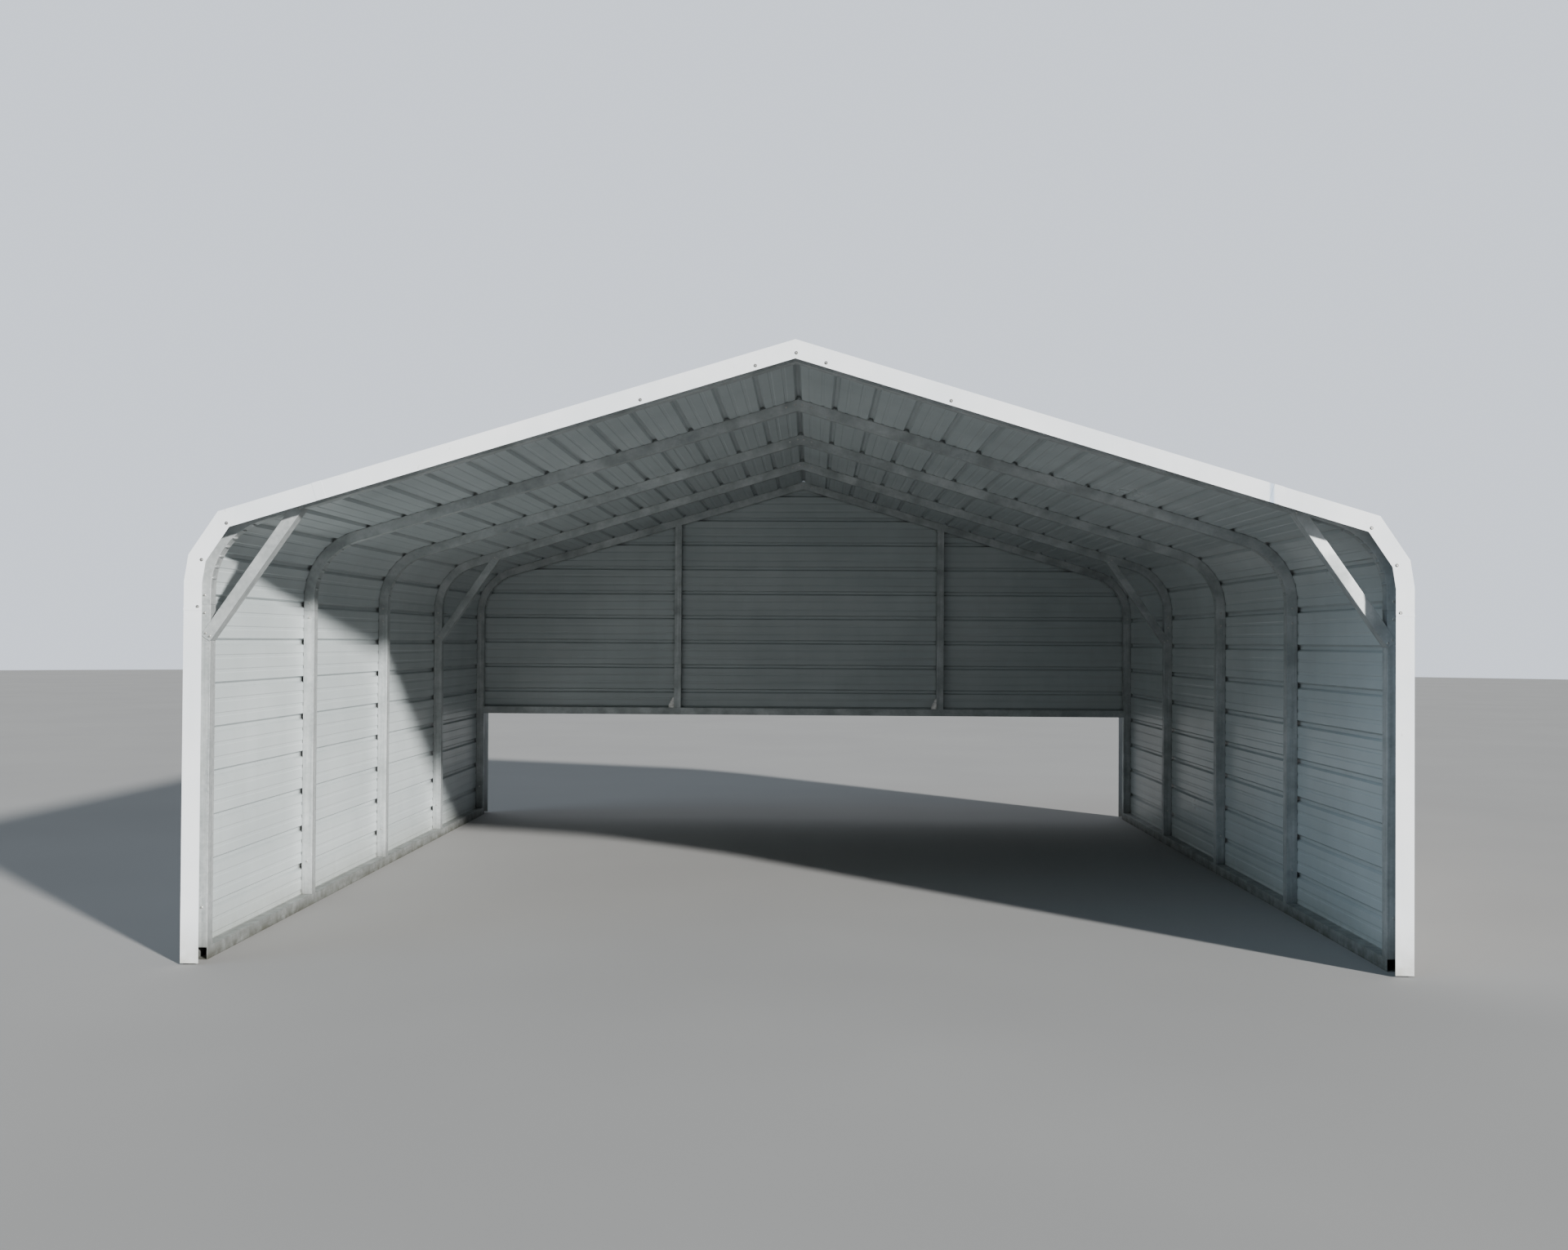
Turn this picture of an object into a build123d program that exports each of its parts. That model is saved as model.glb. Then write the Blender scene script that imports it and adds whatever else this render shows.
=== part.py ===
# Carport: a rounded-eave steel tube frame under horizontal ribbed sheets.
# Millimetres. X across, Y front (negative) to rear, Z up from the ground.

import os
from math import atan2, cos, degrees, radians, sin, tan

from build123d import *

os.makedirs("parts", exist_ok=True)

# Frame
frame_width = 6050.0
eave_height = 2195.0
roof_angle = 16.75
eave_radius = 430.0
frame_count = 5
frame_spacing = 1524.0
tube = 63.5
tube_wall = 1.9
bow_stub = 75.0

# Corner braces: channels that straddle the leg and the bow
brace_depth = 57.0
brace_wall = 1.9
brace_fit = 0.2
brace_drop = 531.0
brace_reach = 427.0
brace_lap = 45.0
frames_per_brace = 3

# Sheets
sheet_overhang = 120.0
sheet = 1.0
rib_pitch = 228.6
rib_height = 19.0
rib_base = 45.0
rib_top = 20.0
minor_rib_height = 2.5
minor_rib_base = 24.0
minor_rib_top = 14.0
minor_rib_spacing = 76.0
lap_lip = 4.0
rib_root = 3.0
ridge_gap = 45.0
ground_gap = 8.0
eave_lead = 96.0
ribs_per_sheet = 4
rib_slack = 1.0
roof_sheets = ("roof_sheet_lower", "roof_sheet_middle", "roof_sheet_upper")

# Ridge cap
cap_half_width = 170.0
cap_rib_base = 55.0

# Gable
girt_bottom = 943.0
gable_bottom_overlap = 12.0
gable_peak_drop = 344.0
post_left = -1157.0
post_right = 1273.0
gable_side_gap = 1.0

# Trim
trim = 1.2
trim_face = 91.0
trim_return = 60.0
trim_lap = 2362.0
trim_bends = (0.0, 9.0, 34.0)
trim_clearance = 0.2

# Positions that follow from the sizes above
half = frame_width / 2
slope = radians(roof_angle)
tangent = eave_radius * tan(radians(90 - roof_angle) / 2)
spring = eave_height - tangent
leg_top = spring - bow_stub
ridge = eave_height + half * tan(slope)
bend_centre = half - eave_radius
slope_run = half / cos(slope) - tangent
bend_run = eave_radius * radians(90 - roof_angle)
rib_angle = degrees(atan2(rib_height, (rib_base - rib_top) / 2))
minor_rib_angle = degrees(atan2(minor_rib_height, (minor_rib_base - minor_rib_top) / 2))
frame_y = [(i - (frame_count - 1) / 2) * frame_spacing for i in range(frame_count)]
rear_face = frame_y[-1] + tube / 2
rail_length = frame_y[-1] - frame_y[0] + tube
sheet_length = rail_length + 2 * sheet_overhang
sheet_cover = ribs_per_sheet * rib_pitch
bore = tube - 2 * tube_wall


def place(girth):
    """Spot on the outside line of the right half, measured along it from the ridge."""
    if girth < slope_run:
        return Location((girth * cos(slope), ridge - girth * sin(slope), 0), (0, 0, -roof_angle))
    if girth < slope_run + bend_run:
        turn = roof_angle + degrees((girth - slope_run) / eave_radius)
        x = bend_centre + eave_radius * sin(radians(turn))
        return Location((x, spring + eave_radius * cos(radians(turn)), 0), (0, 0, -turn))
    return Location((half, spring - (girth - slope_run - bend_run), 0), (0, 0, -90))


def arch(inset, mode=Mode.ADD):
    """Add the area inside the frame's outside line, drawn in by the inset."""
    with BuildLine() as outline:
        up = Line((half - inset, 0), (half - inset, spring))
        bend = JernArc(up @ 1, up % 1, eave_radius - inset, 90 - roof_angle)
        Line(bend @ 1, (0, ridge - inset / cos(slope)))
        mirror(about=Plane.YZ)
        Line((inset - half, 0), (half - inset, 0))
    make_face(outline.edges(), mode=mode)


def ribs(places, minor_places, laps):
    """Raise hollow ribs on the sheet, and a larger lapping rib over the next sheet's first."""
    skin = sheet / sin(radians(rib_angle))
    minor_skin = 2 * sheet * tan(radians(minor_rib_angle) / 2)
    with Locations(*places):
        Trapezoid(rib_base, rib_height, rib_angle, align=(Align.CENTER, Align.MIN))
    with Locations(*minor_places):
        Trapezoid(minor_rib_base + minor_skin, minor_rib_height + sheet, minor_rib_angle,
                  align=(Align.CENTER, Align.MIN))
    if laps:
        with Locations(*laps):
            Trapezoid(rib_base + 2 * skin, rib_height + sheet, rib_angle,
                      align=(Align.CENTER, Align.MIN))
            Trapezoid(rib_base, rib_height, rib_angle, align=(Align.CENTER, Align.MIN),
                      mode=Mode.SUBTRACT)
            Rectangle(rib_base, sheet + lap_lip, align=Align.MIN, mode=Mode.SUBTRACT)
    root = Location((0, -rib_root))
    spread = 2 * rib_root / tan(radians(rib_angle))
    minor_spread = 2 * rib_root / tan(radians(minor_rib_angle))
    with Locations(*[place * root for place in places]):
        Trapezoid(rib_base - 2 * skin + spread, rib_height - sheet + rib_root, rib_angle,
                  align=(Align.CENTER, Align.MIN), mode=Mode.SUBTRACT)
    with Locations(*[place * root for place in minor_places]):
        Trapezoid(minor_rib_base + minor_spread, minor_rib_height + rib_root, minor_rib_angle,
                  align=(Align.CENTER, Align.MIN), mode=Mode.SUBTRACT)


def rib_stations(datum, start, end):
    """Girths at whole rib pitches from the datum, at or after the start and before the end."""
    steps = range(round((start - datum) / rib_pitch) - 1, round((end - datum) / rib_pitch) + 2)
    girths = [datum + k * rib_pitch for k in steps]
    return [girth for girth in girths if start - rib_slack <= girth < end - rib_base]


def minor_stations(datum, start, end):
    """Girths of the low ribs, two in each pan between the major ribs."""
    pans = rib_stations(datum + rib_pitch / 2, start - rib_pitch / 2, end + rib_pitch)
    girths = [pan + side * minor_rib_spacing / 2 for pan in pans for side in (-1, 1)]
    return [girth for girth in girths if start + minor_rib_base < girth < end - minor_rib_base / 2]


def export(part, label):
    """Name one piece and write it to its own file."""
    part.label = label
    export_step(part, f"parts/{label}.step")


# Base rail: square tube on the ground, open at both ends
with BuildPart() as base_rail:
    with BuildSketch(Plane.XZ.offset(-rail_length / 2)):
        with Locations((half - tube / 2, tube / 2)):
            Rectangle(tube, tube)
            Rectangle(bore, bore, mode=Mode.SUBTRACT)
    extrude(amount=rail_length)

# Leg: square tube from the rail up to the bow
with BuildPart() as leg:
    with BuildSketch(Plane.XY.offset(tube)):
        with Locations((half - tube / 2, 0)):
            Rectangle(tube, tube)
            Rectangle(bore, bore, mode=Mode.SUBTRACT)
    extrude(amount=leg_top - tube)

# Roof bow: one bent tube with both eave bends and the peak
with BuildPart() as bow:
    with BuildSketch(Plane.XZ.offset(-tube / 2)):
        arch(0)
        arch(tube, mode=Mode.SUBTRACT)
        Rectangle(frame_width, leg_top, align=(Align.CENTER, Align.MIN), mode=Mode.SUBTRACT)
    extrude(amount=tube)
    with BuildSketch(Plane.XZ.offset(-bore / 2)):
        arch(tube_wall)
        arch(tube - tube_wall, mode=Mode.SUBTRACT)
    extrude(amount=bore, mode=Mode.SUBTRACT)

# Corner brace: its web stops at the leg and the bow, and its flanges lap onto their sides
foot = Vector(half - tube, eave_height - brace_drop)
head_x = foot.X - brace_reach
head = Vector(head_x, ridge - head_x * tan(slope) - tube / cos(slope))
brace_angle = degrees(atan2(head.Y - foot.Y, head.X - foot.X))
brace_start = Location((foot.X, foot.Y), brace_angle)
brace_run = (head - foot).length + 2 * brace_lap
channel_width = tube + 2 * (brace_fit + brace_wall)
with BuildPart() as corner_brace:
    with BuildSketch(Plane.XZ.offset(-channel_width / 2)):
        with Locations(brace_start * Location((-brace_lap, 0))):
            Rectangle(brace_run, brace_depth, align=(Align.MIN, Align.CENTER))
        arch(brace_fit, mode=Mode.INTERSECT)
    extrude(amount=channel_width)
    with BuildSketch(Plane.XZ.offset(brace_wall - channel_width / 2)):
        arch(0)
        arch(tube + brace_fit, mode=Mode.SUBTRACT)
        with Locations(brace_start * Location((-2 * brace_lap, -brace_wall))):
            Rectangle(brace_run + 2 * brace_lap, brace_depth, align=(Align.MIN, Align.CENTER))
    extrude(amount=tube + 2 * brace_fit, mode=Mode.SUBTRACT)

# Sheets are set out from the top rib of the eave sheet, a little above the bend
eave_top = slope_run - eave_lead
eave_bottom = eave_top + sheet_cover
wall_end = slope_run + bend_run + spring - ground_gap
flat_layout = [
    ("wall_sheet_upper", eave_bottom, eave_bottom + sheet_cover, True),
    ("wall_sheet_lower", eave_bottom + sheet_cover, wall_end, False),
]
for step, name in enumerate(roof_sheets):
    start = ridge_gap / 2 if name == roof_sheets[-1] else eave_top - (step + 1) * sheet_cover
    flat_layout.append((name, start, eave_top - step * sheet_cover, True))

# Flat roof and wall sheets: ribs run front to back, the last laps over the next sheet
flat_sheets = {}
for name, start, end, lapped in flat_layout:
    edge = end - rib_base / 2 if lapped else end
    with BuildPart() as flat_sheet:
        with BuildSketch(Plane.XZ.offset(-sheet_length / 2)):
            with Locations(place(start)):
                Rectangle(edge - start, sheet, align=Align.MIN)
            ribs(
                [place(girth) for girth in rib_stations(eave_top, start, end)],
                [place(girth) for girth in minor_stations(eave_top, start, edge)],
                [place(end)] if lapped else [],
            )
        extrude(amount=sheet_length)
    flat_sheets[name] = flat_sheet.part

# Eave sheet: bent round the corner of the frame
eave_start = place(eave_top).position
eave_end = place(eave_bottom - rib_base / 2).position
with BuildPart() as eave_sheet:
    with BuildSketch(Plane.XZ.offset(-sheet_length / 2)):
        with BuildLine():
            wall_part = Line((eave_end.X, eave_end.Y), (half, spring))
            bend_part = JernArc(wall_part @ 1, wall_part % 1, eave_radius, 90 - roof_angle)
            Line(bend_part @ 1, (eave_start.X, eave_start.Y))
            offset(amount=sheet, side=Side.RIGHT)
        make_face()
        ribs(
            [place(girth) for girth in rib_stations(eave_top, eave_top, eave_bottom)],
            [place(girth) for girth in minor_stations(eave_top, eave_top, eave_bottom)],
            [place(eave_bottom)],
        )
    extrude(amount=sheet_length)

# Ridge cap: lies on the low ribs of the top sheets, with a raised rib on the peak
cap_lift = sheet + minor_rib_height
cap_length = sheet_length - 2 * trim_return
with BuildPart() as ridge_cap:
    with BuildSketch(Plane.XZ.offset(-cap_length / 2)):
        with BuildLine():
            peak = (0, ridge + cap_lift / cos(slope))
            cap_edge = place(cap_half_width) * Location((0, cap_lift, 0))
            Line((cap_edge.position.X, cap_edge.position.Y), peak)
            mirror(about=Plane.YZ)
            offset(amount=sheet, side=Side.RIGHT, kind=Kind.INTERSECTION)
        make_face()
        rib_drop = cap_rib_base / 2 * tan(slope)
        with Locations((0, peak[1] - rib_drop)):
            Trapezoid(cap_rib_base, rib_height + rib_drop, rib_angle,
                      align=(Align.CENTER, Align.MIN))
            Trapezoid(cap_rib_base - 2 * sheet / sin(radians(rib_angle)), rib_height + rib_drop - sheet,
                      rib_angle, align=(Align.CENTER, Align.MIN), mode=Mode.SUBTRACT)
    extrude(amount=cap_length)

# Gable girt: horizontal tube between the rear legs
with BuildPart() as gable_girt:
    with BuildSketch(Plane.YZ.offset(tube - half)):
        with Locations((frame_y[-1], girt_bottom + tube / 2)):
            Rectangle(tube, tube)
            Rectangle(bore, bore, mode=Mode.SUBTRACT)
    extrude(amount=2 * (half - tube))

# Gable posts: stand on the girt and meet the rear bow
gable_posts = {}
for name, x in (("gable_post_left", post_left), ("gable_post_right", post_right)):
    with BuildPart() as gable_post:
        for width, mode in ((tube, Mode.ADD), (bore, Mode.SUBTRACT)):
            with BuildSketch(Plane.XZ.offset(-frame_y[-1] - width / 2)):
                with Locations((x, girt_bottom + tube)):
                    Rectangle(width, ridge, align=(Align.CENTER, Align.MIN))
                arch(tube, mode=Mode.INTERSECT)
            extrude(amount=width, mode=mode)
    gable_posts[name] = gable_post.part

# Gable sheets: horizontal ribs set out down from the peak, cut to the roof line
gable_sheets = {}
gable_drop = ridge - girt_bottom - gable_bottom_overlap
gable_laps = (gable_peak_drop, gable_peak_drop + sheet_cover)
gable_plane = Plane(origin=(-half, rear_face, ridge), x_dir=(0, 0, -1), z_dir=(1, 0, 0))
for name, start, end, lapped in (
    ("gable_sheet_upper", 0, gable_laps[0], True),
    ("gable_sheet_middle", gable_laps[0], gable_laps[1], True),
    ("gable_sheet_lower", gable_laps[1], gable_drop, False),
):
    edge = end - rib_base / 2 if lapped else end
    with BuildPart() as gable_sheet:
        with BuildSketch(gable_plane):
            with Locations((start, 0)):
                Rectangle(edge - start, sheet, align=Align.MIN)
            ribs(
                [Location((drop, 0)) for drop in rib_stations(gable_laps[0], start, end)],
                [Location((drop, 0)) for drop in minor_stations(gable_laps[0], start, edge)],
                [Location((end, 0))] if lapped else [],
            )
        extrude(amount=frame_width)
        with BuildSketch(Plane.XZ.offset(-rear_face - 2 * rib_height)):
            arch(gable_side_gap)
        extrude(amount=3 * rib_height, mode=Mode.INTERSECT)
    gable_sheets[name] = gable_sheet.part

# Edge trim: a bent face in front of the sheet ends with a return over their outside
rise = rib_height + sheet + trim_clearance + trim
bend_angles = (*trim_bends, 90 - roof_angle)


def trim_corner(i):
    """Outside corner of the trim between two of its straight runs."""
    middle = radians((bend_angles[i] + bend_angles[i + 1]) / 2)
    reach = (eave_radius + rise) / cos(radians(bend_angles[i + 1] - bend_angles[i]) / 2)
    return (bend_centre + reach * cos(middle), spring + reach * sin(middle))


lap_point = (trim_lap, ridge + rise / cos(slope) - trim_lap * tan(slope))
peak_point = (-trim_face, ridge + rise / cos(slope) + trim_face * tan(slope))
corner_path = [(half + rise, ground_gap), trim_corner(0), trim_corner(1), trim_corner(2), lap_point]
trims = {}
for name, path in (("corner_trim", corner_path), ("rake_trim", [lap_point, peak_point])):
    with BuildPart() as edge_trim:
        for width, depth in ((trim_face, trim), (trim, trim_return)):
            with BuildSketch(Plane.XZ.offset(sheet_length / 2 + trim - depth)):
                with BuildLine():
                    Polyline(*path)
                    offset(amount=width, side=Side.LEFT, kind=Kind.INTERSECTION)
                make_face()
            extrude(amount=depth)
        split(bisect_by=Plane.YZ)
    trims[name] = edge_trim.part

# Pieces on both sides and at each frame
export(base_rail.part, "base_rail_right")
export(mirror(base_rail.part, Plane.YZ), "base_rail_left")
for number, y in enumerate(frame_y, start=1):
    export(Pos(0, y, 0) * leg.part, f"leg_right_{number}")
    export(Pos(0, y, 0) * mirror(leg.part, Plane.YZ), f"leg_left_{number}")
    export(Pos(0, y, 0) * bow.part, f"roof_bow_{number}")
for number in range(1, frame_count + 1, frames_per_brace):
    y = frame_y[number - 1]
    export(Pos(0, y, 0) * corner_brace.part, f"corner_brace_right_{number}")
    export(Pos(0, y, 0) * mirror(corner_brace.part, Plane.YZ), f"corner_brace_left_{number}")
for name, part in (*flat_sheets.items(), ("eave_sheet", eave_sheet.part)):
    export(part, f"{name}_right")
    export(mirror(part, Plane.YZ), f"{name}_left")
export(ridge_cap.part, "ridge_cap")
export(gable_girt.part, "gable_girt")
for name, part in (*gable_posts.items(), *gable_sheets.items()):
    export(part, name)
for name, part in trims.items():
    export(part, f"front_{name}_right")
    export(mirror(part, Plane.YZ), f"front_{name}_left")
    export(mirror(part, Plane.XZ), f"rear_{name}_right")
    export(mirror(mirror(part, Plane.YZ), Plane.XZ), f"rear_{name}_left")
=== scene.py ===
import math

import bmesh
import bpy
from mathutils import Matrix, Vector


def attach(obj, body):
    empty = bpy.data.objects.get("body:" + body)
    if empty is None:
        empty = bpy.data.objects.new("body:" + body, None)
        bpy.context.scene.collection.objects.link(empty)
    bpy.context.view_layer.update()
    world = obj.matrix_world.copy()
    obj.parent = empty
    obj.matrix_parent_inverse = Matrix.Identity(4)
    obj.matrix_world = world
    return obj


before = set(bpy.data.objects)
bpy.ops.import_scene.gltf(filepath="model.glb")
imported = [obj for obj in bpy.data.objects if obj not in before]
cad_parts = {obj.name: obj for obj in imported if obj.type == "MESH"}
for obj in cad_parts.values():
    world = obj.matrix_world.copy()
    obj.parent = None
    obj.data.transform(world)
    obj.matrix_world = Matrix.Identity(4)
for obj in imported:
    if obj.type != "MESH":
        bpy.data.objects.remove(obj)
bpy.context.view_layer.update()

# Sizes of the frame, in metres: X across, Y front (negative) to rear, Z up
half_width = 3.025
eave_height = 2.195
slope = math.radians(16.75)
bend_radius = 0.430
tube = 0.0635
sheet = 0.001
frame_spacing = 1.524

# From the ends of the eave bend: back to the rib above it, and down to the top of the leg
eave_lead = 0.096
bow_stub = 0.075

# Spacing of the ribs, and how far beside one its screw sits
rib_pitch = 0.2286
beside_rib = 0.046

# Edge trim: how far it stands out from the frame, and how far its faces are from the middle
trim_rise = 0.0214
trim_front = 3.20095

# Rear gable: underside of the girt, first rib below the ridge, middles of the posts
girt_bottom = 0.943
gable_peak_drop = 0.344
post_middles = [-1.157, 1.273]

# Corner braces: foot below the eave, head inwards of the foot, and half the width over both faces
brace_drop = 0.531
brace_reach = 0.427
brace_face = 0.03385

# Thickness of the angle clips at the posts
clip_wall = 0.003

# Places that follow from the sizes
frame_rows = [n * frame_spacing for n in range(-2, 3)]
braced_rows = frame_rows[::3]
gable_face = frame_rows[-1] + tube / 2 + sheet
ridge = eave_height + half_width * math.tan(slope)
spring = eave_height - bend_radius * math.tan((math.pi / 2 - slope) / 2)
slope_run = half_width / math.cos(slope) - (eave_height - spring)
bend_run = bend_radius * (math.pi / 2 - slope)
top_rib = slope_run - eave_lead
leg_top = spring - bow_stub


def outline_at(girth):
    """Point and outward direction on the right half of the frame's outside line, from the ridge."""
    if girth < slope_run:
        out = Vector((math.sin(slope), 0, math.cos(slope)))
        return Vector((girth * math.cos(slope), 0, ridge - girth * math.sin(slope))), out
    if girth < slope_run + bend_run:
        turn = slope + (girth - slope_run) / bend_radius
        out = Vector((math.sin(turn), 0, math.cos(turn)))
        return Vector((half_width - bend_radius, 0, spring)) + out * bend_radius, out
    return Vector((half_width, 0, spring - (girth - slope_run - bend_run))), Vector((1, 0, 0))


def mirrored(vector, side):
    """The vector on the right side (1) or flipped over to the left side (-1)."""
    return Vector((vector.x * side, vector.y, vector.z))


# Node helpers


def add(tree, kind, *wired, settings=None, **named):
    """One node. Inputs go by order or by name, and are values or other nodes' sockets."""
    made = tree.nodes.new(kind)
    for name, value in (settings or {}).items():
        setattr(made, name, value)
    inputs = list(enumerate(wired))
    inputs += [(name.replace("_", " "), value) for name, value in named.items()]
    for key, value in inputs:
        if isinstance(value, bpy.types.NodeSocket):
            tree.links.new(value, made.inputs[key])
        elif value is not None:
            made.inputs[key].default_value = value
    return made


def math_of(tree, operation, first, second=None):
    return add(tree, "ShaderNodeMath", first, second, settings={"operation": operation}).outputs[0]


def vector_of(tree, operation, first, second=None):
    made = add(tree, "ShaderNodeVectorMath", first, second, settings={"operation": operation})
    return made.outputs["Value" if operation == "DOT_PRODUCT" else "Vector"]


def colour_between(tree, share, first, second):
    made = add(tree, "ShaderNodeMix", share, settings={"data_type": "RGBA"})
    for socket, value in ((made.inputs[6], first), (made.inputs[7], second)):
        if isinstance(value, bpy.types.NodeSocket):
            tree.links.new(value, socket)
        else:
            socket.default_value = (*value, 1)
    return made.outputs[2]


def ramped(tree, value, low, high, start=0.0, end=1.0):
    """The value's range from low to high, laid evenly over start to end and held past them."""
    return add(tree, "ShaderNodeMapRange", value, low, high, start, end).outputs[0]


def cloud(tree, place, scale, detail=3.0, stretch=None, low=0.35, high=0.65, start=0.0, end=1.0):
    """Uneven patches. A stretch pulls them out along the directions where it is small."""
    if stretch is not None:
        place = vector_of(tree, "MULTIPLY", place, stretch)
    noise = add(tree, "ShaderNodeTexNoise", Vector=place, Scale=scale, Detail=detail, Roughness=0.6)
    return ramped(tree, noise.outputs[0], low, high, start, end)


def empty_material(name):
    material = bpy.data.materials.new(name)
    material.use_nodes = True
    tree = material.node_tree
    tree.nodes.clear()
    shader = add(tree, "ShaderNodeBsdfPrincipled")
    output = add(tree, "ShaderNodeOutputMaterial")
    tree.links.new(shader.outputs[0], output.inputs[0])
    place = add(tree, "ShaderNodeTexCoord").outputs["Object"]
    return material, tree, shader, place


def height_in(tree, place):
    return add(tree, "ShaderNodeSeparateXYZ", place).outputs[2]


def painted_corner_shade(tree, reach, strength):
    """Painted shade: how deep a spot lies in a corner or a rib's hollow, where it is darkened."""
    closed_in, open_to_air = 0.08, 0.68
    shaded = add(tree, "ShaderNodeAmbientOcclusion", Distance=reach, settings={"samples": 6})
    return ramped(tree, shaded.outputs["AO"], closed_in, open_to_air, start=strength, end=0.0)


def splashed_foot(tree, place, reach):
    """How strongly soil from the ground has splashed up, strongest at the floor."""
    near = ramped(tree, height_in(tree, place), low=0.0, high=reach, start=1.0, end=0.0)
    ragged = cloud(tree, place, scale=14.0, detail=6.0, low=0.05, high=0.6, start=0.25)
    return math_of(tree, "MULTIPLY", math_of(tree, "POWER", near, 1.8), ragged)


# Colours as red, green and blue: the two tones that each finish runs between
enamel_tones = (0.67, 0.69, 0.70), (0.73, 0.74, 0.74)
# Inside backing coat: its tones sit below the coat's own off-white, to paint in part of the shade under the
# roof
backing_and_shade_tones = (0.39, 0.435, 0.445), (0.45, 0.495, 0.505)
zinc_tones = (0.33, 0.36, 0.37), (0.54, 0.57, 0.575)
trim_tones = (0.68, 0.72, 0.755), (0.77, 0.795, 0.815)
plating_tones = (0.62, 0.62, 0.60), (0.38, 0.38, 0.36)
rubber_tones = (0.028, 0.028, 0.03), (0.085, 0.085, 0.08)
floor_tones = (0.235, 0.235, 0.233), (0.25, 0.25, 0.247)

# What marks the sheets, the zinc and the trim, and the painted shade in their corners, hollows and rake joint
streak_grey = (0.32, 0.345, 0.335)
haze_grey = (0.38, 0.405, 0.385)
rib_hollow_shade = (0.035, 0.037, 0.033)
sheet_soil = (0.17, 0.165, 0.12)
crystal_shine = (0.70, 0.72, 0.72)
oxide_grey = (0.25, 0.275, 0.275)
zinc_corner_shade = (0.04, 0.042, 0.04)
zinc_soil = (0.085, 0.085, 0.065)
run_grey = (0.55, 0.57, 0.58)
scuff_grey = (0.48, 0.49, 0.49)
joint_shade = (0.30, 0.42, 0.58)
trim_soil = (0.24, 0.23, 0.18)


def run_off_across(run_off):
    """Slack in a sheet lies along its ribs, across the way that water runs."""
    return (2.2, 1.1, 5.0) if run_off[1] > run_off[0] else (1.1, 2.2, 5.0)


def painted_sheet(name, run_off, outward):
    """White enamel on ribbed sheet: glossier outside, a dull off-white backing coat inside, its tone lowered
    to stand in for part of the shade under the roof.
    """
    material, tree, shader, place = empty_material(name)
    facing = add(tree, "ShaderNodeTexCoord").outputs["Normal"]
    under_roof = (0, 0, 1.2)
    away = vector_of(tree, "MULTIPLY", vector_of(tree, "SUBTRACT", place, under_roof), outward)
    inside = math_of(tree, "LESS_THAN", vector_of(tree, "DOT_PRODUCT", facing, away), 0.0)
    enamel = colour_between(tree, cloud(tree, place, scale=0.8), *enamel_tones)
    backing_and_shade = colour_between(tree, cloud(tree, place, scale=1.3), *backing_and_shade_tones)
    paint = colour_between(tree, inside, enamel, backing_and_shade)
    streaks = cloud(tree, place, scale=1.0, detail=4.0, stretch=run_off, low=0.5, high=0.8, end=0.16)
    paint = colour_between(tree, streaks, paint, streak_grey)
    haze = cloud(tree, place, scale=3.2, detail=4.0, stretch=(1, 1.6, 0.5), low=0.52, high=0.75, end=0.12)
    paint = colour_between(tree, haze, paint, haze_grey)
    # Painted shade: corners and rib hollows darkened almost to black, fully on the inside faces and at 0.6 on
    # the outside
    inside_shade_weight = ramped(tree, inside, low=0, high=1, start=0.6, end=1.0)
    corners = math_of(tree, "MULTIPLY", painted_corner_shade(tree, reach=0.045, strength=0.9), inside_shade_weight)
    paint = colour_between(tree, corners, paint, rib_hollow_shade)
    foot = math_of(tree, "MULTIPLY", splashed_foot(tree, place, reach=0.34), 0.6)
    paint = colour_between(tree, foot, paint, sheet_soil)
    tree.links.new(paint, shader.inputs["Base Color"])
    dull = cloud(tree, place, scale=1.5, detail=1.0, low=0.0, high=1.0, start=0.24, end=0.4)
    tree.links.new(dull, shader.inputs["Roughness"])
    slack = cloud(tree, place, scale=1.0, detail=0.0, stretch=run_off_across(run_off), low=0.0, high=1.0)
    bump = add(tree, "ShaderNodeBump", Strength=0.8, Distance=0.008, Height=slack)
    tree.links.new(bump.outputs[0], shader.inputs["Normal"])
    return material


def zinc_tube(name, along):
    """Galvanized tube: fine crystals, drawing marks along its length and dull oxide."""
    material, tree, shader, place = empty_material(name)
    crystals = add(tree, "ShaderNodeTexVoronoi", Vector=place, Scale=75.0).outputs["Color"]
    crystal = add(tree, "ShaderNodeSeparateColor", crystals).outputs[0]
    drawn = cloud(tree, place, scale=1.0, detail=4.0, stretch=along, low=0.3, high=0.7)
    oxide = cloud(tree, place, scale=6.0, detail=5.0, low=0.42, high=0.68)
    zinc = colour_between(tree, drawn, *zinc_tones)
    zinc = colour_between(tree, math_of(tree, "MULTIPLY", crystal, 0.25), zinc, crystal_shine)
    zinc = colour_between(tree, math_of(tree, "MULTIPLY", oxide, 0.6), zinc, oxide_grey)
    # Painted shade: the tube darkened in corners and where it meets the sheets
    zinc = colour_between(tree, painted_corner_shade(tree, reach=0.02, strength=0.8), zinc, zinc_corner_shade)
    foot = math_of(tree, "MULTIPLY", splashed_foot(tree, place, reach=0.25), 0.95)
    zinc = colour_between(tree, foot, zinc, zinc_soil)
    tree.links.new(zinc, shader.inputs["Base Color"])
    shader.inputs["Metallic"].default_value = 0.6
    sparkle = math_of(tree, "MULTIPLY", crystal, 0.08)
    dull = math_of(tree, "ADD", ramped(tree, oxide, low=0, high=1, start=0.5, end=0.68), sparkle)
    tree.links.new(dull, shader.inputs["Roughness"])
    rounded = add(tree, "ShaderNodeBevel", Radius=0.004, settings={"samples": 4}).outputs[0]
    marks = add(tree, "ShaderNodeBump", Strength=0.3, Distance=0.0008, Height=drawn, Normal=rounded)
    tree.links.new(marks.outputs[0], shader.inputs["Normal"])
    return material


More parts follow.
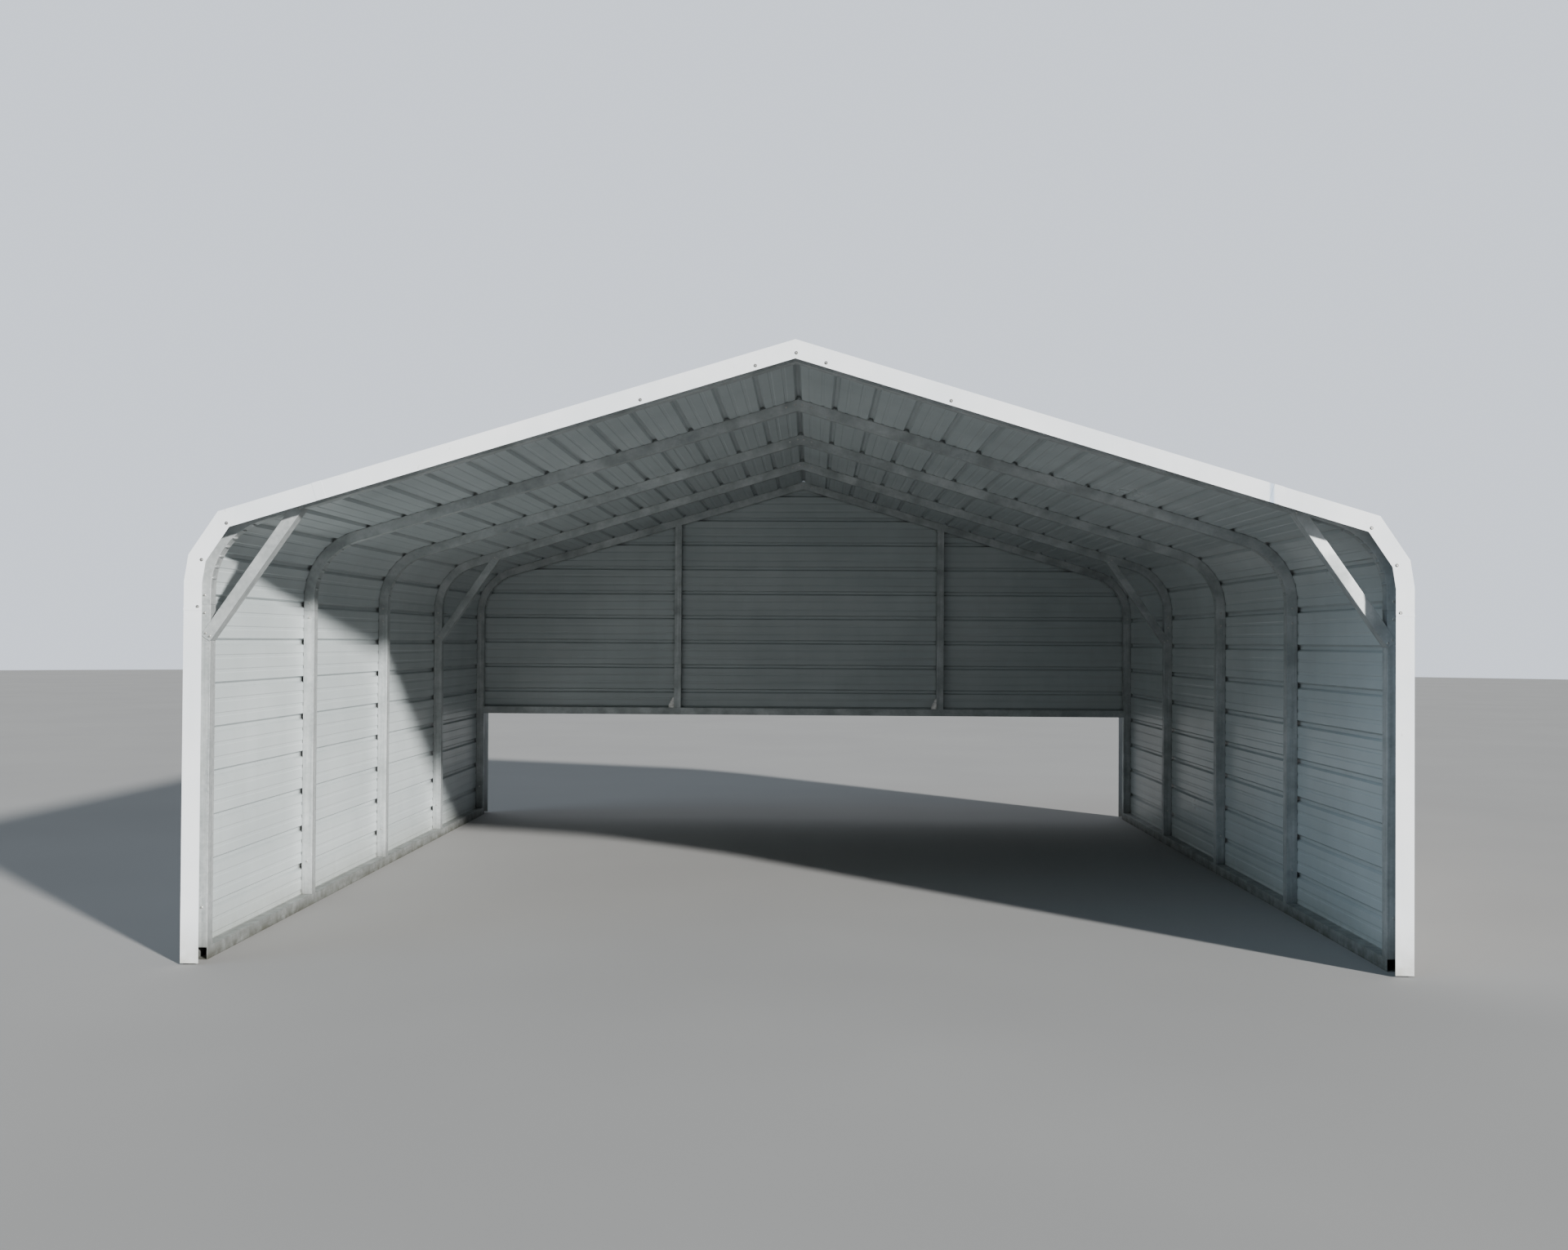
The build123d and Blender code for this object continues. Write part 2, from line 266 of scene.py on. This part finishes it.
def painted_trim(name):
    """Bright white edge trim with faint run marks, scuffs and a painted bluish shade at the joint on the
    rake.
    """
    material, tree, shader, place = empty_material(name)
    paint = colour_between(tree, cloud(tree, place, scale=1.6), *trim_tones)
    runs = cloud(tree, place, scale=1.0, detail=4.0, stretch=(16, 16, 1.2), low=0.55, high=0.8, end=0.22)
    paint = colour_between(tree, runs, paint, run_grey)
    scuffs = cloud(tree, place, scale=34.0, detail=5.0, stretch=(1, 1, 0.35), low=0.69, high=0.74, end=0.5)
    paint = colour_between(tree, scuffs, paint, scuff_grey)
    # Painted shade: a bluish band beside the rake joint
    rake_joint = 2.350
    across = add(tree, "ShaderNodeSeparateXYZ", place).outputs[0]
    from_joint = math_of(tree, "ABSOLUTE", math_of(tree, "SUBTRACT", across, rake_joint))
    joint = ramped(tree, from_joint, low=0.005, high=0.016, start=0.75, end=0.0)
    paint = colour_between(tree, joint, paint, joint_shade)
    foot = math_of(tree, "MULTIPLY", splashed_foot(tree, place, reach=0.3), 0.7)
    paint = colour_between(tree, foot, paint, trim_soil)
    tree.links.new(paint, shader.inputs["Base Color"])
    tree.links.new(cloud(tree, place, scale=5.0, detail=4.0, start=0.3, end=0.44), shader.inputs["Roughness"])
    wavy = cloud(tree, place, scale=1.0, detail=2.0, stretch=(3, 3, 3), low=0.2, high=0.8)
    bump = add(tree, "ShaderNodeBump", Strength=0.8, Distance=0.004, Height=wavy)
    tree.links.new(bump.outputs[0], shader.inputs["Normal"])
    return material


def plated_steel():
    """Zinc-plated screw heads and brackets, a little tarnished."""
    material, tree, shader, place = empty_material("screw_zinc")
    worn = cloud(tree, place, scale=60.0, detail=3.0, low=0.4, high=0.7)
    zinc = colour_between(tree, worn, *plating_tones)
    tree.links.new(zinc, shader.inputs["Base Color"])
    tree.links.new(ramped(tree, worn, low=0, high=1, start=0.3, end=0.5), shader.inputs["Roughness"])
    shader.inputs["Metallic"].default_value = 0.85
    return material


def sealing_rubber():
    """Black washer rubber that has gone grey with dust."""
    material, tree, shader, place = empty_material("washer_rubber")
    dust = cloud(tree, place, scale=80.0, detail=3.0)
    rubber = colour_between(tree, dust, *rubber_tones)
    tree.links.new(rubber, shader.inputs["Base Color"])
    shader.inputs["Roughness"].default_value = 0.8
    return material


def pale_floor():
    material, tree, shader, place = empty_material("studio_floor")
    patches = cloud(tree, place, scale=0.4, detail=2.0)
    grey = colour_between(tree, patches, *floor_tones)
    tree.links.new(grey, shader.inputs["Base Color"])
    shader.inputs["Roughness"].default_value = 0.9
    return material


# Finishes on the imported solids
side_sheet_paint = painted_sheet("side_and_roof_sheet_paint", (0.6, 11, 0.6), (1, 0, 1))
gable_sheet_paint = painted_sheet("gable_sheet_paint", (11, 0.6, 0.6), (0, 1, 0))
trim_paint = painted_trim("edge_trim_paint")
upright_zinc = zinc_tube("upright_zinc", (55, 55, 1.5))
lengthwise_zinc = zinc_tube("lengthwise_zinc", (55, 1.5, 55))
crosswise_zinc = zinc_tube("crosswise_zinc", (2.5, 55, 6))
screw_steel = plated_steel()
washer_rubber = sealing_rubber()

finishes = {
    "base_rail": lengthwise_zinc,
    "leg": upright_zinc,
    "roof_bow": crosswise_zinc,
    "corner_brace": crosswise_zinc,
    "gable_girt": crosswise_zinc,
    "gable_post": upright_zinc,
    "gable_sheet": gable_sheet_paint,
    "roof_sheet": side_sheet_paint,
    "eave_sheet": side_sheet_paint,
    "wall_sheet": side_sheet_paint,
    "ridge_cap": side_sheet_paint,
    "front": trim_paint,
    "rear": trim_paint,
}
for node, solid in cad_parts.items():
    finish = next(finishes[start] for start in finishes if node.startswith(start))
    if not solid.material_slots:
        solid.data.materials.append(finish)
    for material_slot in solid.material_slots:
        material_slot.material = finish


# Repeated small parts, grown by geometry nodes


def start_tree(name, sizes):
    """A geometry tree with one named input for each size or finish."""
    tree = bpy.data.node_groups.new(name, "GeometryNodeTree")
    tree.interface.new_socket("Geometry", in_out="INPUT", socket_type="NodeSocketGeometry")
    for label, value in sizes.items():
        if isinstance(value, bpy.types.Material):
            kind = "NodeSocketMaterial"
        else:
            kind = "NodeSocketInt" if isinstance(value, int) else "NodeSocketFloat"
        tree.interface.new_socket(label, in_out="INPUT", socket_type=kind)
    tree.interface.new_socket("Geometry", in_out="OUTPUT", socket_type="NodeSocketGeometry")
    return tree, tree.nodes.new("NodeGroupInput"), tree.nodes.new("NodeGroupOutput")


def raised(tree, mesh, height):
    """The mesh moved up by a height."""
    offset = add(tree, "ShaderNodeCombineXYZ", 0.0, 0.0, height).outputs[0]
    return add(tree, "GeometryNodeTransform", Geometry=mesh, Translation=offset).outputs[0]


def half_of(tree, value):
    return math_of(tree, "MULTIPLY", value, 0.5)


screw_sizes = {
    "Head width": 0.008,
    "Head height": 0.0036,
    "Flange width": 0.012,
    "Flange height": 0.0009,
    "Washer width": 0.015,
    "Washer height": 0.0015,
    "Seed": 7,
    "Steel": screw_steel,
    "Rubber": washer_rubber,
}


def screw_tree():
    """Hex heads with a flange and a sealing washer, one at each point, turned at random."""
    tree, given, result = start_tree("hex_screws", screw_sizes)
    size = given.outputs
    washer = add(tree, "GeometryNodeMeshCylinder", Vertices=10, Radius=half_of(tree, size["Washer width"]),
                 Depth=size["Washer height"]).outputs[0]
    washer = raised(tree, washer, half_of(tree, size["Washer height"]))
    rubber = add(tree, "GeometryNodeStoreNamedAttribute", washer, None, "is_rubber",
                 settings={"data_type": "BOOLEAN", "domain": "FACE"}, Value=True).outputs[0]
    rim_per_width, corner_per_width = 0.42, 0.577
    flange_rim = math_of(tree, "MULTIPLY", size["Flange width"], rim_per_width)
    flange = add(tree, "GeometryNodeMeshCone", Vertices=10, Radius_Top=flange_rim,
                 Radius_Bottom=half_of(tree, size["Flange width"]), Depth=size["Flange height"]).outputs[0]
    flange = raised(tree, flange, size["Washer height"])
    head_corner = math_of(tree, "MULTIPLY", size["Head width"], corner_per_width)
    head = add(tree, "GeometryNodeMeshCylinder", Vertices=6, Radius=head_corner,
               Depth=size["Head height"]).outputs[0]
    flange_top = math_of(tree, "ADD", size["Washer height"], size["Flange height"])
    head = raised(tree, head, math_of(tree, "ADD", flange_top, half_of(tree, size["Head height"])))
    screw = add(tree, "GeometryNodeJoinGeometry")
    for part in (rubber, flange, head):
        tree.links.new(part, screw.inputs[0])
    facing = add(tree, "GeometryNodeInputNamedAttribute", "facing",
                 settings={"data_type": "FLOAT_VECTOR"}).outputs[0]
    aimed = add(tree, "FunctionNodeAlignRotationToVector", Vector=facing, settings={"axis": "Z"}).outputs[0]
    turn = add(tree, "FunctionNodeRandomValue", settings={"data_type": "FLOAT"})
    turn.inputs[3].default_value = math.tau
    tree.links.new(size["Seed"], turn.inputs["Seed"])
    spin = add(tree, "ShaderNodeCombineXYZ", 0.0, 0.0, turn.outputs[1]).outputs[0]
    turned = add(tree, "FunctionNodeRotateRotation", aimed, settings={"rotation_space": "LOCAL"})
    tree.links.new(add(tree, "FunctionNodeEulerToRotation", spin).outputs[0], turned.inputs[1])
    placed = add(tree, "GeometryNodeInstanceOnPoints", Points=size[0], Instance=screw.outputs[0],
                 Rotation=turned.outputs[0]).outputs[0]
    real = add(tree, "GeometryNodeRealizeInstances", placed).outputs[0]
    steel = add(tree, "GeometryNodeSetMaterial", Geometry=real, Material=size["Steel"]).outputs[0]
    on_rubber = add(tree, "GeometryNodeInputNamedAttribute", "is_rubber",
                    settings={"data_type": "BOOLEAN"}).outputs[0]
    both = add(tree, "GeometryNodeSetMaterial", Geometry=steel, Selection=on_rubber, Material=size["Rubber"])
    tree.links.new(both.outputs[0], result.inputs[0])
    return tree


def grown(name, tree, sizes, points=()):
    """Runs a tree on bare points with a facing each, and keeps the result as a plain mesh."""
    seeds = bpy.data.meshes.new(name + "_points")
    seeds.from_pydata([point for point, facing in points], [], [])
    facings = seeds.attributes.new("facing", "FLOAT_VECTOR", "POINT")
    facings.data.foreach_set("vector", [number for point, facing in points for number in facing])
    grower = bpy.data.objects.new(name + "_grower", seeds)
    bpy.context.scene.collection.objects.link(grower)
    modifier = grower.modifiers.new("grow", "NODES")
    modifier.node_group = tree
    for socket in tree.interface.items_tree:
        if socket.in_out == "INPUT" and socket.name in sizes:
            modifier[socket.identifier] = sizes[socket.name]
    ready = grower.evaluated_get(bpy.context.evaluated_depsgraph_get())
    mesh = bpy.data.meshes.new_from_object(ready)
    grower.modifiers.remove(modifier)
    bpy.data.objects.remove(grower)
    return shown(name, mesh)


def shown(name, mesh, finish=None):
    """Puts a finished mesh in the scene as a piece that rides on the frame."""
    mesh.name = name
    if finish is not None:
        mesh.materials.append(finish)
    piece = bpy.data.objects.new(name, mesh)
    bpy.context.scene.collection.objects.link(piece)
    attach(piece, "root")
    return piece


def sheet_screw_points():
    """Screws in the pans beside the ribs, into every bow, leg and rail, and through the ridge cap."""
    under_cap, ribs_down = 0.2, 11
    rail_screw_height = 0.034
    cap_reach, cap_lift = 0.128, 0.0045
    points = []
    first_rib = math.ceil((under_cap - top_rib) / rib_pitch)
    for step in range(first_rib, ribs_down):
        spot, out = outline_at(top_rib + step * rib_pitch + beside_rib)
        for side in (1, -1):
            for row in frame_rows:
                on_sheet = mirrored(spot + out * sheet, side) + Vector((0, row, 0))
                points.append((on_sheet, mirrored(out, side)))
    rail_rows = [n * frame_spacing / 2 for n in range(-4, 5)]
    for side in (1, -1):
        for row in rail_rows:
            on_wall = Vector((side * (half_width + sheet), row, rail_screw_height))
            points.append((on_wall, Vector((side, 0, 0))))
        spot, out = outline_at(cap_reach)
        for row in frame_rows:
            lifted = mirrored(spot + out * cap_lift, side) + Vector((0, row, 0))
            points.append((lifted, mirrored(out, side)))
    return points


def gable_screw_points():
    """Screws through the gable sheets into the posts, legs, girt and rear bow."""
    rib_rows, end_room, girt_screw_spacing = 8, 0.08, 0.58
    bow_peak = ridge - tube / 2 / math.cos(slope)
    points = []
    for step in range(rib_rows):
        height = ridge - gable_peak_drop - step * rib_pitch - beside_rib
        reach = min((bow_peak - height) / math.tan(slope), half_width - tube / 2)
        if height > spring and reach > half_width - bend_radius:
            in_bend = math.sqrt((bend_radius - tube / 2) ** 2 - (height - spring) ** 2)
            reach = half_width - bend_radius + in_bend
        points += [Vector((x, gable_face, height)) for x in (-reach, reach)]
        points += [Vector((x, gable_face, height)) for x in post_middles if abs(x) < reach - end_room]
    girt_middle = girt_bottom + tube / 2
    points += [Vector((n * girt_screw_spacing, gable_face, girt_middle)) for n in range(-5, 6)]
    return [(point, Vector((0, 1, 0))) for point in points]


def trim_face_points():
    """Spots near the inner edge of the trim's face: at its bends, its joints and along the rake."""
    inset = 0.069
    leg_screw_height = 1.784
    right_rake, left_rake = (0.152, 0.772), (0.199, 0.770)
    peak_shift = 0.004
    # The corners of the trim's facets round the eave, as angles up from level
    bends = (math.radians(9.0), math.radians(34.0), math.pi / 2 - slope)
    spots = []
    for low, high in zip(bends, bends[1:]):
        reach = (bend_radius + trim_rise - inset) / math.cos((high - low) / 2)
        middle = (low + high) / 2
        spots.append((half_width - bend_radius + reach * math.cos(middle), spring + reach * math.sin(middle)))
    spots.append((half_width + trim_rise - inset, leg_screw_height))
    rake_top = ridge + (trim_rise - inset) / math.cos(slope)
    rights = spots + [(x, rake_top - x * math.tan(slope)) for x in right_rake]
    lefts = [(-x, z) for x, z in spots + [(x, rake_top - x * math.tan(slope)) for x in left_rake]]
    return rights + lefts + [(peak_shift, rake_top + peak_shift)]


def trim_screw_points():
    """Small screws on the trim's faces, and through its returns on the roof into the ribs."""
    return_row = 3.17
    # From beside the ridge cap down into the eave bend, counted from the top rib
    every_other_rib = range(-11, 3, 2)
    points = []
    for end in (-1, 1):
        for x, z in trim_face_points():
            points.append((Vector((x, end * trim_front, z)), Vector((0, end, 0))))
        for step in every_other_rib:
            spot, out = outline_at(top_rib + step * rib_pitch)
            for side in (1, -1):
                on_return = mirrored(spot + out * trim_rise, side) + Vector((0, end * return_row, 0))
                points.append((on_return, mirrored(out, side)))
    return points


brace_foot = Vector((half_width - tube, 0, eave_height - brace_drop))
brace_head_x = brace_foot.x - brace_reach
under_bow = ridge - brace_head_x * math.tan(slope) - tube / math.cos(slope)
brace_head = Vector((brace_head_x, 0, under_bow))
brace_way = (brace_head - brace_foot).normalized()
brace_across = Vector((brace_way.z, 0, -brace_way.x))


def frame_screw_points():
    """Screws of the frame: brace ends, leg sleeves, feet, splices at the peak and post clips."""
    foot_screw, sleeve_screw = 0.264, 0.045
    splice_screws, splice_depth = (0.030, 0.088), 0.026
    brace_end_room, brace_pair = 0.024, 0.013
    clip_row, clip_screw_height, clip_screw_reach = 3.036, 0.068, 0.032
    points = []
    for row in frame_rows:
        for face in (-1, 1):
            out = Vector((0, face, 0))
            leg_levels = (foot_screw, leg_top - sleeve_screw, leg_top + sleeve_screw)
            spots = [Vector((side * (half_width - tube / 2), 0, z)) for side in (1, -1) for z in leg_levels]
            for along in splice_screws:
                spot, up = outline_at(along)
                spots += [mirrored(spot - up * splice_depth, side) for side in (1, -1)]
            points += [(spot + Vector((0, row + face * tube / 2, 0)), out) for spot in spots]
    for row in braced_rows:
        for face in (-1, 1):
            for end, way in ((brace_foot, -brace_way), (brace_head, brace_way)):
                for shift in (-brace_pair, brace_pair):
                    spot = end + way * brace_end_room + brace_across * shift
                    for side in (1, -1):
                        lifted = mirrored(spot, side) + Vector((0, row + face * brace_face, 0))
                        points.append((lifted, Vector((0, face, 0))))
    seat = girt_bottom + tube
    for middle in post_middles:
        left = middle - tube / 2
        on_post = Vector((left - clip_wall, clip_row, seat + clip_screw_height))
        on_girt = Vector((left - clip_screw_reach, clip_row, seat + clip_wall))
        points += [(on_post, Vector((-1, 0, 0))), (on_girt, Vector((0, 0, 1)))]
    return points


hex_screws = screw_tree()
trim_screw_sizes = {
    **screw_sizes,
    "Head height": 0.003,
    "Flange width": 0.0115,
    "Washer width": 0.0175,
    "Washer height": 0.0008,
}
frame_screw_sizes = {
    **screw_sizes,
    "Head height": 0.0045,
    "Flange width": 0.0135,
    "Washer width": 0.011,
    "Washer height": 0.0003,
}
grown("sheet_screws", hex_screws, screw_sizes, sheet_screw_points())
grown("gable_screws", hex_screws, screw_sizes, gable_screw_points())
grown("trim_screws", hex_screws, trim_screw_sizes, trim_screw_points())
grown("frame_screws", hex_screws, frame_screw_sizes, frame_screw_points())

plain_end = 0.16
ripple_sizes = {
    "Ripples": 7,
    "Arc radius": bend_radius - tube,
    "Arc start": slope + plain_end,
    "Arc sweep": math.pi / 2 - slope - 2 * plain_end,
    "Ripple width": 0.060,
    "Ripple length": 0.017,
    "Ripple height": 0.0060,
    "Bend middle": half_width - bend_radius,
    "Bend height": spring,
    "Frames": len(frame_rows),
    "Frame spacing": frame_spacing,
    "Zinc": crosswise_zinc,
}


def ripple_tree():
    """The low ripples that a bending machine presses into the inner face of each eave bend."""
    tree, given, result = start_tree("bend_ripples", ripple_sizes)
    size = given.outputs
    arc = add(tree, "GeometryNodeCurveArc", Resolution=48, Radius=size["Arc radius"],
              settings={"mode": "RADIUS"})
    arc_end = math_of(tree, "ADD", size["Arc start"], size["Arc sweep"])
    tree.links.new(math_of(tree, "SUBTRACT", math.pi / 2, arc_end), arc.inputs["Start Angle"])
    tree.links.new(size["Arc sweep"], arc.inputs["Sweep Angle"])
    spots = add(tree, "GeometryNodeCurveToPoints", arc.outputs[0], size["Ripples"],
                settings={"mode": "COUNT"})
    bar = add(tree, "GeometryNodeMeshUVSphere", Segments=10, Rings=7, Radius=0.5).outputs[0]
    both_ways = math_of(tree, "MULTIPLY", size["Ripple height"], 2.0)
    scale = add(tree, "ShaderNodeCombineXYZ", both_ways, size["Ripple length"],
                size["Ripple width"]).outputs[0]
    bar = add(tree, "GeometryNodeTransform", Geometry=bar, Scale=scale).outputs[0]
    away = add(tree, "GeometryNodeInputPosition").outputs[0]
    aimed = add(tree, "FunctionNodeAlignRotationToVector", Vector=away,
                settings={"axis": "X", "pivot_axis": "Z"}).outputs[0]
    row = add(tree, "GeometryNodeInstanceOnPoints", Points=spots.outputs[0], Instance=bar,
              Rotation=aimed).outputs[0]
    place = add(tree, "ShaderNodeCombineXYZ", size["Bend middle"], 0.0, size["Bend height"]).outputs[0]
    right = add(tree, "GeometryNodeTransform", Geometry=row, Translation=place,
                Rotation=(math.pi / 2, 0, 0)).outputs[0]
    left = add(tree, "GeometryNodeTransform", Geometry=right, Rotation=(0, 0, math.pi)).outputs[0]
    pair = add(tree, "GeometryNodeJoinGeometry")
    for part in (right, left):
        tree.links.new(part, pair.inputs[0])
    step = add(tree, "ShaderNodeCombineXYZ", 0.0, size["Frame spacing"], 0.0).outputs[0]
    reach = math_of(tree, "MULTIPLY", size["Frame spacing"], math_of(tree, "SUBTRACT", size["Frames"], 1.0))
    start = add(tree, "ShaderNodeCombineXYZ", 0.0, math_of(tree, "MULTIPLY", reach, -0.5), 0.0).outputs[0]
    rows = add(tree, "GeometryNodeMeshLine", Count=size["Frames"], Start_Location=start, Offset=step,
               settings={"mode": "OFFSET"}).outputs[0]
    placed = add(tree, "GeometryNodeInstanceOnPoints", Points=rows, Instance=pair.outputs[0]).outputs[0]
    real = add(tree, "GeometryNodeRealizeInstances", placed).outputs[0]
    smooth = add(tree, "GeometryNodeSetShadeSmooth", real).outputs[0]
    done = add(tree, "GeometryNodeSetMaterial", Geometry=smooth, Material=size["Zinc"])
    tree.links.new(done.outputs[0], result.inputs[0])
    return tree


grown("bend_ripples", ripple_tree(), ripple_sizes)


# Plates and joints, built as meshes


def join_outlines(mesh, first, second):
    """Faces all the way round between two outlines with as many corners."""
    for i in range(len(first)):
        j = (i + 1) % len(first)
        mesh.faces.new((first[i], first[j], second[j], second[i]))


def add_plate(mesh, corners, thick):
    """A flat plate: the outline's corners, and the same moved by the thickness."""
    near = [mesh.verts.new(corner) for corner in corners]
    far = [mesh.verts.new(Vector(corner) + Vector(thick)) for corner in corners]
    mesh.faces.new(near)
    mesh.faces.new(reversed(far))
    join_outlines(mesh, far, near)


def finished(name, built, finish):
    """Closes a built mesh with its faces outwards, and shows it."""
    bmesh.ops.recalc_face_normals(built, faces=built.faces)
    mesh = bpy.data.meshes.new(name)
    built.to_mesh(mesh)
    built.free()
    shown(name, mesh, finish)


def build_post_clips():
    """A gusseted angle clip at the left foot of each gable post."""
    built = bmesh.new()
    height, reach, ahead, depth = 0.095, 0.052, 0.024, 0.046
    gusset_reach, gusset_toe, gusset_tip = 0.050, 0.022, 0.012
    seat = girt_bottom + tube
    top = seat + height
    front = frame_rows[-1] - ahead
    rear = front + depth
    for middle in post_middles:
        left = middle - tube / 2
        leaf = left - clip_wall
        toe = left - reach
        upright = [(left, front, seat), (left, rear, seat), (left, rear, top), (left, front, top)]
        add_plate(built, upright, (-clip_wall, 0, 0))
        foot = [(leaf, front, seat), (leaf, rear, seat), (toe, rear, seat), (toe, front, seat)]
        add_plate(built, foot, (0, 0, clip_wall))
        gusset = [
            (leaf, seat + clip_wall),
            (left - gusset_reach, seat + clip_wall),
            (left - gusset_reach, seat + gusset_toe),
            (left - gusset_tip, top),
            (leaf, top),
        ]
        add_plate(built, [(x, front, z) for x, z in gusset], (0, -clip_wall, 0))
    finished("gable_post_clips", built, screw_steel)


def build_sleeve_rings():
    """A thin swaged ring where each leg slips into its bow."""
    built = bmesh.new()
    grow, band, sink = 0.0007, 0.004, 0.002
    reach = tube / 2 + grow
    for side in (1, -1):
        for row in frame_rows:
            middle = Vector((side * (half_width - tube / 2), row, leg_top - sink))
            corners = [(-reach, -reach), (reach, -reach), (reach, reach), (-reach, reach)]
            inner = reach - 2 * grow
            holes = [(-inner, -inner), (inner, -inner), (inner, inner), (-inner, inner)]
            rings = []
            for level, outline in ((0, corners), (band, corners), (band, holes), (0, holes)):
                rings.append([built.verts.new(middle + Vector((x, y, level))) for x, y in outline])
            for lower, upper in zip(rings, rings[1:] + rings[:1]):
                join_outlines(built, lower, upper)
    finished("leg_sleeve_rings", built, upright_zinc)


def build_trim_laps():
    """Overlaps of the trim: the rake piece over the corner piece, and the lower leg piece."""
    built = bmesh.new()
    face, back, proud = 0.0905, 0.058, 0.0011
    rake_end, leg_joint, rake_lap, leg_lap = 2.362, 1.778, 0.05, 0.012
    rake_point = Vector((rake_end, 0, ridge + trim_rise / math.cos(slope) - rake_end * math.tan(slope)))
    rake_out = Vector((math.sin(slope), 0, math.cos(slope)))
    down_slope = Vector((math.cos(slope), 0, -math.sin(slope)))
    leg_point = Vector((half_width + trim_rise, 0, leg_joint))
    laps = (
        (rake_point, rake_out, down_slope * rake_lap),
        (leg_point, Vector((1, 0, 0)), Vector((0, 0, -leg_lap))),
    )
    for point, out, along in laps:
        for side in (1, -1):
            for end in (-1, 1):
                ends = Vector((0, end * (trim_front + proud), 0))
                inner, outer = point - out * face, point + out * proud
                section = [inner, outer, outer, point, point, inner]
                depths = [0, 0, -end * back, -end * back, -end * proud, -end * proud]
                loops = []
                for move in (Vector((0, 0, 0)), along):
                    loops.append([built.verts.new(mirrored(spot + move, side) + ends + Vector((0, depth, 0)))
                                  for spot, depth in zip(section, depths)])
                join_outlines(built, loops[0], loops[1])
                built.faces.new(loops[0])
                built.faces.new(reversed(loops[1]))
    finished("trim_laps", built, trim_paint)


build_post_clips()
build_sleeve_rings()
build_trim_laps()


# Floor, light and camera
built = bmesh.new()
bmesh.ops.create_circle(built, cap_ends=True, segments=96, radius=70)
floor_mesh = bpy.data.meshes.new("floor")
built.to_mesh(floor_mesh)
built.free()
floor_mesh.materials.append(pale_floor())
floor = bpy.data.objects.new("floor", floor_mesh)
bpy.context.scene.collection.objects.link(floor)

world = bpy.data.worlds.new("studio")
world.use_nodes = True
background = world.node_tree.nodes["Background"]
sky_tint = (0.82, 0.89, 1.0, 1)
background.inputs[0].default_value = sky_tint
sky_light, sky_seen = 0.16, 1.25
backdrop = add(world.node_tree, "ShaderNodeLightPath").outputs["Is Camera Ray"]
brightness = ramped(world.node_tree, backdrop, low=0, high=1, start=sky_light, end=sky_seen)
world.node_tree.links.new(brightness, background.inputs[1])
bpy.context.scene.world = world


def add_lamp(name, aim, **settings):
    """A distant lamp whose light travels along the aim."""
    lamp = bpy.data.lights.new(name, "SUN")
    for key, value in settings.items():
        setattr(lamp, key, value)
    placed = bpy.data.objects.new(name, lamp)
    placed.rotation_mode = "QUATERNION"
    placed.rotation_quaternion = Vector(aim).to_track_quat("-Z", "Y")
    bpy.context.scene.collection.objects.link(placed)


add_lamp("key_light", (-1.0, 1.11, -0.515), energy=10.5, angle=math.radians(3.0), color=(1.0, 0.975, 0.94))
add_lamp("side_fill", (0.85, 0.45, -0.55), energy=1.1, angle=math.radians(45), color=(0.62, 0.82, 1.0))
add_lamp("rear_fill", (0.30, -0.70, -0.95), energy=0.9, angle=math.radians(70), color=(0.9, 0.95, 1.0))

yaw, pitch, roll = math.radians(-1.138), math.radians(0.633), math.radians(0.339)
forward = Vector((math.sin(yaw) * math.cos(pitch), math.cos(yaw) * math.cos(pitch), math.sin(pitch)))
level_right = Vector((math.cos(yaw), -math.sin(yaw), 0))
level_up = level_right.cross(forward)
right = level_right * math.cos(roll) + level_up * math.sin(roll)
up = level_up * math.cos(roll) - level_right * math.sin(roll)
lens = bpy.data.cameras.new("camera")
lens.sensor_width = 36.0
lens.lens = 33.12
lens.clip_end = 300.0
camera = bpy.data.objects.new("camera", lens)
turn = Matrix((right, up, -forward)).transposed().to_4x4()
camera_place = (0.0930, -10.3384, 1.6302)
camera.matrix_world = Matrix.Translation(camera_place) @ turn
bpy.context.scene.collection.objects.link(camera)
bpy.context.scene.camera = camera
